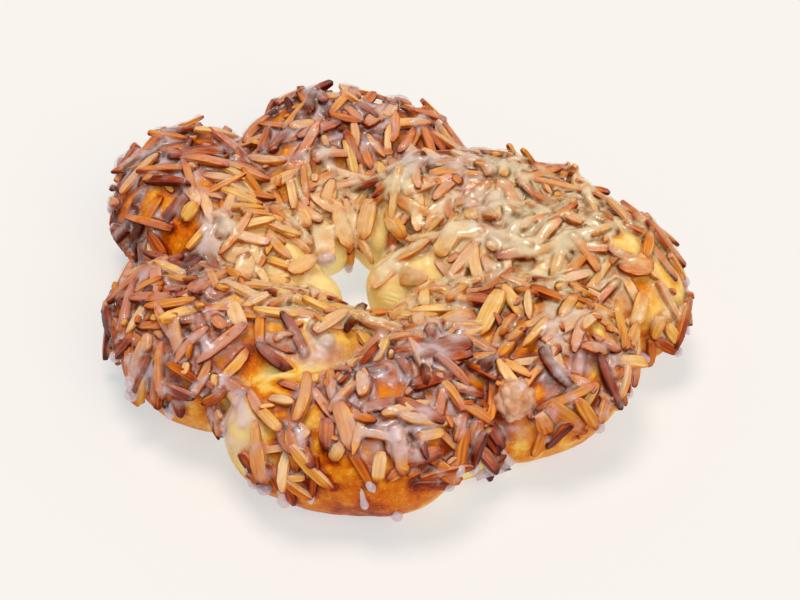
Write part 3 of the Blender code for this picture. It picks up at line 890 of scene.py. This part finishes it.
film = calculate(tree, "MULTIPLY", film, attribute(tree, "coated"))
fibre_bump = add(tree, "ShaderNodeBump")
fibre_bump.inputs["Strength"].default_value = 0.3
fibre_bump.inputs["Distance"].default_value = 0.2 * MM
tree.links.new(fibre.outputs["Fac"], fibre_bump.inputs["Height"])
tree.links.new(fibre_bump.outputs["Normal"], almond_shader.inputs["Normal"])
coated_colour = mix_colour(tree, film, almond_colour, NUT_FILM_COLOUR)
tree.links.new(coated_colour, almond_shader.inputs["Base Color"])
tree.links.new(remap(tree, film, 0, 1, 0.4, 0.2), almond_shader.inputs["Roughness"])
almond_shader.inputs["Subsurface Weight"].default_value = 0.06
almond_shader.inputs["Subsurface Radius"].default_value = (1.0, 0.5, 0.2)
almond_shader.inputs["Subsurface Scale"].default_value = 0.8 * MM
almond_shader.inputs["Specular IOR Level"].default_value = 0.1
tree.links.new(calculate(tree, "MULTIPLY", film, 0.7), almond_shader.inputs["Coat Weight"])
almond_shader.inputs["Coat Roughness"].default_value = 0.14
almonds.data.materials.append(almond_finish)
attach(almonds, "root")
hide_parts("almond_ring")

# Crumb lump: a knob of almond and sugar crumb that stuck to the front right roll and baked on.
LUMP_AT = (34, -54, 30)
LUMP_SIZE = (5.8, 5.8, 7.2)
LUMP_KNOBS = 0.34
LUMP_KNOB_SIZE = 0.5
LUMP_TOAST = 0.25

bpy.ops.mesh.primitive_ico_sphere_add(subdivisions=5, radius=1.0)
lump = bpy.context.object
lump.name = "crumb_lump"
ball = np.array([corner.co for corner in lump.data.vertices])
knobs = np.array([noise.voronoi(Vector(point) / LUMP_KNOB_SIZE)[0][0] for point in ball])
knobs = 1 + LUMP_KNOBS * (0.45 - knobs) + 0.04 * wander(ball, 0.12, 5)
move_corners(lump.data, np.array(LUMP_AT) + ball * LUMP_SIZE * knobs[:, None])
lump.data.shade_smooth()
paint(lump.data, "bake", np.full(len(ball), LUMP_TOAST))
lump_finish, tree, lump_shader = new_finish("sugar_crumb")
mottle = group_node(tree, oven_mottle, Strength=1.0)
lump_share = add(tree, "ShaderNodeMath", operation="ADD", use_clamp=True)
tree.links.new(attribute(tree, "bake"), lump_share.inputs[0])
tree.links.new(mottle.outputs["Blotch"], lump_share.inputs[1])
crumb_colours = ((0.0, srgb(232, 186, 156)), (0.5, srgb(212, 142, 94)), (1.0, srgb(150, 74, 26)))
tree.links.new(ramp(tree, lump_share.outputs[0], crumb_colours), lump_shader.inputs["Base Color"])
pores = add(tree, "ShaderNodeBump")
pores.inputs["Strength"].default_value = 0.5
pores.inputs["Distance"].default_value = 0.3 * MM
tree.links.new(mottle.outputs["Pores"], pores.inputs["Height"])
tree.links.new(pores.outputs["Normal"], lump_shader.inputs["Normal"])
lump_shader.inputs["Roughness"].default_value = 0.45
lump.data.materials.append(lump_finish)
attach(lump, "root")
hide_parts("almond_ring")

# Glaze: icing sugar thinned with water and brushed over the hot ring. It fills the hollows between the
# almonds, webs across from one to the next, and thins to a film on their tops. The sheet is a copy of
# crust and almonds melted together, then raised by its own depth.
GLAZE_GRAIN = 0.92
GLAZE_SMOOTHINGS = 4
GLAZE_DEPTH = 0.38
GLAZE_RIPPLE = ((11, 0.6), (4.5, 0.55), (2.4, 0.25))
# Where the sheet stands out less than this from crust and nuts it is clear, so it is left off.
HIDDEN_UNDER = 0.1
GLAZE_EDGE = (5, 12)
UNDERCUT = (-0.5, 0.1)
FACES_UP = (0.2, 0.9)
THICKER_ON_TOP = 0.15
SUNK_WHERE_DRY = 0.8
# Painted shade in the hollows of the glaze: the heights over the crust where it is none and where it is
# full, and how much thinner it makes the glaze.
CREVICE_SHADE_LEVELS = (1.6, 0.4)
CREVICE_SHADE_SHARE = 0.3
CREAM_TO_RIGHT = (5, 40)
CREAM_TO_BACK = (-50, -20)
CREAM_TO_HOLE = (56, 30)
POOLS = (
    ((40, 12, 38), 36, 0.35),
    ((2, 12, 26), 14, 0.4),
    ((20, 44, 36), 26, 0.25),
    ((46, -32, 36), 24, 0.15),
    ((-20, 24, 28), 20, 0.3),
    ((-2, -66, 34), 20, 0.35),
    ((-52, -26, 38), 22, 0.1),
    ((2, 46, 32), 14, 0.4),
    ((-44, -62, 26), 12, 0.5),
    ((-70, -42, 24), 16, 0.3),
    ((-56, 12, 36), 9, 0.5),
    ((-24, -30, 34), 9, 0.5),
    ((12, -34, 36), 12, 0.3),
    ((-68, 14, 34), 9, -0.7),
    ((-15, -80, 19), 16, -0.7),
    ((4, -84, 14), 12, -0.7),
    ((-34, -50, 33), 12, -0.5),
    ((34, -54, 31), 10, -0.9),
)


def melted(name, pieces):
    """One closed skin over several pieces, with their small gaps bridged."""
    body = bmesh.new()
    for piece in pieces:
        body.from_mesh(piece.data)
    mesh = bpy.data.meshes.new(name)
    body.to_mesh(mesh)
    body.free()
    skin_of_all = bpy.data.objects.new(name, mesh)
    bpy.context.scene.collection.objects.link(skin_of_all)
    remesh = skin_of_all.modifiers.new("melt", "REMESH")
    remesh.mode = "VOXEL"
    remesh.voxel_size = GLAZE_GRAIN * MM
    smooth = skin_of_all.modifiers.new("smooth", "SMOOTH")
    smooth.iterations = GLAZE_SMOOTHINGS
    graph = bpy.context.evaluated_depsgraph_get()
    melted_mesh = bpy.data.meshes.new_from_object(skin_of_all.evaluated_get(graph))
    skin_of_all.modifiers.clear()
    skin_of_all.data = melted_mesh
    return skin_of_all


def height_over(points, pieces):
    """How far each point stands out of the nearest of the pieces' faces: less than 0 inside."""
    graph = bpy.context.evaluated_depsgraph_get()
    heights = np.full(len(points), np.inf)
    world = (points + (*CENTRE_SHIFT, 0)) * MM
    for piece in pieces:
        tree_of_faces = BVHTree.FromObject(piece, graph)
        for n, point in enumerate(world):
            place, normal, _, distance = tree_of_faces.find_nearest(Vector(point))
            outside = 1 if (Vector(point) - place).dot(normal) > 0 else -1
            heights[n] = min(heights[n], outside * distance / MM)
    return heights


glaze = melted("glaze", (dough, almonds, lump))
points = corners(glaze.data)
facing = np.empty(points.size)
glaze.data.vertex_normals.foreach_get("vector", facing)
facing = facing.reshape(-1, 3)
depth = np.full(len(points), GLAZE_DEPTH)
for seed, (size, height) in enumerate(GLAZE_RIPPLE):
    depth += height * wander(points, size, 11 + seed)
for centre, reach, amount in POOLS:
    depth += amount * fade(np.linalg.norm(points - centre, axis=1), reach, 0.4 * reach)
depth += THICKER_ON_TOP * fade(facing[:, 2], *FACES_UP)
wet = fade(points[:, 2], *GLAZE_EDGE) * fade(facing[:, 2], *UNDERCUT)
depth = depth * wet - SUNK_WHERE_DRY * (1 - wet)
points = points + facing * depth[:, None]
heights = height_over(points, (dough, almonds))
move_corners(glaze.data, points)
# Painted shade: glaze that lies low among the almonds counts as thinner, so it shows less white in the
# hollows.
crevice_shade = CREVICE_SHADE_SHARE * fade(skin_gap(points), *CREVICE_SHADE_LEVELS)
paint(glaze.data, "depth", np.clip(heights, 0, 3) * (1 - crevice_shade))
# On the right roll and near the hole the glaze took up butter and set cream; elsewhere it is milky.
to_hole = np.linalg.norm(points[:, :2] - HOLE_AXIS, axis=1)
on_right = fade(points[:, 0], *CREAM_TO_RIGHT) * fade(points[:, 1], *CREAM_TO_BACK)
paint(glaze.data, "cream", np.maximum(on_right, fade(to_hole, *CREAM_TO_HOLE)))
body = bmesh.new()
body.from_mesh(glaze.data)
body.verts.ensure_lookup_table()
hidden = [face for face in body.faces if all(heights[corner.index] < HIDDEN_UNDER for corner in face.verts)]
bmesh.ops.delete(body, geom=hidden, context="FACES")
body.to_mesh(glaze.data)
body.free()
glaze.data.shade_smooth()

glaze_finish, tree, glaze_shader = new_finish("sugar_glaze")
thick = attribute(tree, "depth")
milky = ((0.0, srgb(234, 146, 66)), (0.35, srgb(232, 188, 166)), (0.9, srgb(238, 220, 230)))
creamy = ((0.0, srgb(252, 190, 86)), (0.35, srgb(253, 214, 148)), (0.9, srgb(255, 236, 198)))
share = remap(tree, thick, 0.1, 1.1)
milky_colour = ramp(tree, share, milky)
creamy_colour = ramp(tree, share, creamy)
glaze_colour = mix_colour(tree, attribute(tree, "cream"), milky_colour, creamy_colour)
tree.links.new(glaze_colour, glaze_shader.inputs["Base Color"])
# Threads: where the glaze pulled thin between almonds it set in fine white ridges, whitened partly as
# denser glaze and partly as painted highlight.
threads = add(tree, "ShaderNodeTexNoise", noise_type="RIDGED_MULTIFRACTAL")
tree.links.new(add(tree, "ShaderNodeTexCoord").outputs["Object"], threads.inputs["Vector"])
threads.inputs["Scale"].default_value = 1 / (4.5 * MM)
threads.inputs["Detail"].default_value = 3
threads.inputs["Roughness"].default_value = 0.5
thread = remap(tree, threads.outputs["Fac"], 0.9, 1.5)
cloud = remap(tree, noise_value(tree, 4, 4), 0.3, 0.7, 0.75, 1.15)
opaque = calculate(tree, "MULTIPLY", remap(tree, thick, 0.1, 1.2, 0.0, 0.82, "SMOOTHSTEP"), cloud)
opaque = calculate(tree, "MULTIPLY", opaque, remap(tree, attribute(tree, "cream"), 0, 1, 0.8, 0.97))
thread_white_and_glint = calculate(tree, "MULTIPLY", thread, share)
opaque = calculate(tree, "ADD", opaque, calculate(tree, "MULTIPLY", thread_white_and_glint, 0.2))
tree.links.new(opaque, glaze_shader.inputs["Alpha"])
ridges = add(tree, "ShaderNodeBump")
ridges.inputs["Strength"].default_value = 0.6
ridges.inputs["Distance"].default_value = 0.5 * MM
tree.links.new(thread, ridges.inputs["Height"])
tree.links.new(ridges.outputs["Normal"], glaze_shader.inputs["Normal"])
glaze_shader.inputs["Roughness"].default_value = 0.15
glaze_shader.inputs["Specular IOR Level"].default_value = 0.6
glaze_shader.inputs["Coat Weight"].default_value = 0.6
glaze_shader.inputs["Coat Roughness"].default_value = 0.06
glaze_shader.inputs["Subsurface Weight"].default_value = 0.1
glaze_shader.inputs["Subsurface Radius"].default_value = (1.0, 0.8, 0.7)
glaze_shader.inputs["Subsurface Scale"].default_value = 0.8 * MM
glaze.data.materials.append(glaze_finish)
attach(glaze, "root")
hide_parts("almond_ring")

# Glaze drops: where the glaze ran down the side it set in tongues with a thick foot, and where it ran
# off an almond it set in a white bead at the tip.
Drip = namedtuple("Drip", "top foot radius")
DRIPS = (
    Drip((25, -58, 16), (31, -67, 2), 2.4),
    Drip((28, -55, 18), (36, -66, 3), 1.8),
    Drip((-31, -70, 20), (-33, -76, 4), 2.0),
    Drip((0, -82, 10), (1, -81, 3), 1.8),
    Drip((19, -72, 24), (19, -76, 8), 1.6),
    Drip((-10, -80, 22), (-9, -83, 12), 1.3),
    Drip((76, -26, 18), (80, -24, 6), 1.7),
    Drip((56, -44, 20), (60, -48, 9), 1.6),
    Drip((70, -32, 20), (74, -31, 8), 1.6),
    Drip((78, -14, 22), (83, -13, 10), 1.5),
    Drip((84, 6, 22), (87, 5, 9), 1.5),
    Drip((-66, -44, 20), (-70, -47, 8), 1.6),
    Drip((-86, 20, 22), (-90, 18, 9), 1.5),
    Drip((-40, -66, 20), (-42, -71, 8), 1.4),
)
DROP_SIDES = 10
DROP_RADII = (0.1, 0.5, 0.6, 0.66, 0.8, 1.0, 0.95, 0.6, 0.1)
BEAD_RADII = (0.1, 0.75, 0.95, 1.0, 1.02, 1.0, 0.85, 0.55, 0.1)
BEAD_REACH = (0.24, 1.2)
BEAD_HEIGHTS = (3, 24)
BEAD_SHARE = 0.35
BEAD_WIDTH = 0.42
BEAD_SLOPE = 0.45
DROP_DEPTH = 1.5


def drop_corners(path, radii, out):
    """The corners of a run of glaze, ring by ring, closed at both ends."""
    turn = np.linspace(0, 2 * math.pi, DROP_SIDES, endpoint=False)
    rings = []
    for centre, step, radius in zip(path, np.gradient(path, axis=0), radii):
        along = unit(step)
        side = unit(np.cross(out, along))
        up = np.cross(along, side)
        rings.append(centre + radius * (np.cos(turn)[:, None] * side + np.sin(turn)[:, None] * up))
    shape = np.concatenate(rings)
    shape[:, 2] = np.maximum(shape[:, 2], 0)
    return shape


def drip_corners(drip):
    """A tongue of glaze that follows the skin downhill."""
    path = np.linspace(drip.top, drip.foot, len(DROP_RADII))
    for _ in range(4):
        path = path - facings(path) * skin_gap(path)[:, None]
    out = facings(path)
    path = path + out * 0.3 * drip.radius
    return drop_corners(path, np.array(DROP_RADII) * drip.radius, unit(out.mean(0)))


def bead_corners(sliver):
    """A bead of glaze over the lower tip of an almond."""
    downhill = sliver.along * (-1 if sliver.along[2] > 0 else 1)
    tip = sliver.middle + downhill * sliver.length / 2
    start = tip - downhill * BEAD_REACH[0] * sliver.length
    path = np.linspace(start, tip + downhill * BEAD_REACH[1], len(BEAD_RADII))
    return drop_corners(path, np.array(BEAD_RADII) * sliver.width * BEAD_WIDTH, sliver.out)


shapes = [drip_corners(drip) for drip in DRIPS]
draw = random.Random(SLIVER_SEED * 4000)
for sliver in kept:
    beaded = draw.random() < BEAD_SHARE
    low_tip = sliver.middle[2] - abs(sliver.along[2]) * sliver.length / 2
    steep = abs(sliver.along[2]) > BEAD_SLOPE and sliver.length > LENGTH_LIMITS[0]
    if beaded and steep and BEAD_HEIGHTS[0] < low_tip < BEAD_HEIGHTS[1]:
        shapes.append(bead_corners(sliver))
drops = add_piece("glaze_drops", shapes, ring_faces(len(DROP_RADII), DROP_SIDES), 180)
paint(drops.data, "depth", np.full(len(drops.data.vertices), DROP_DEPTH))
drops.data.materials.append(glaze_finish)
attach(drops, "root")
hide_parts("almond_ring")
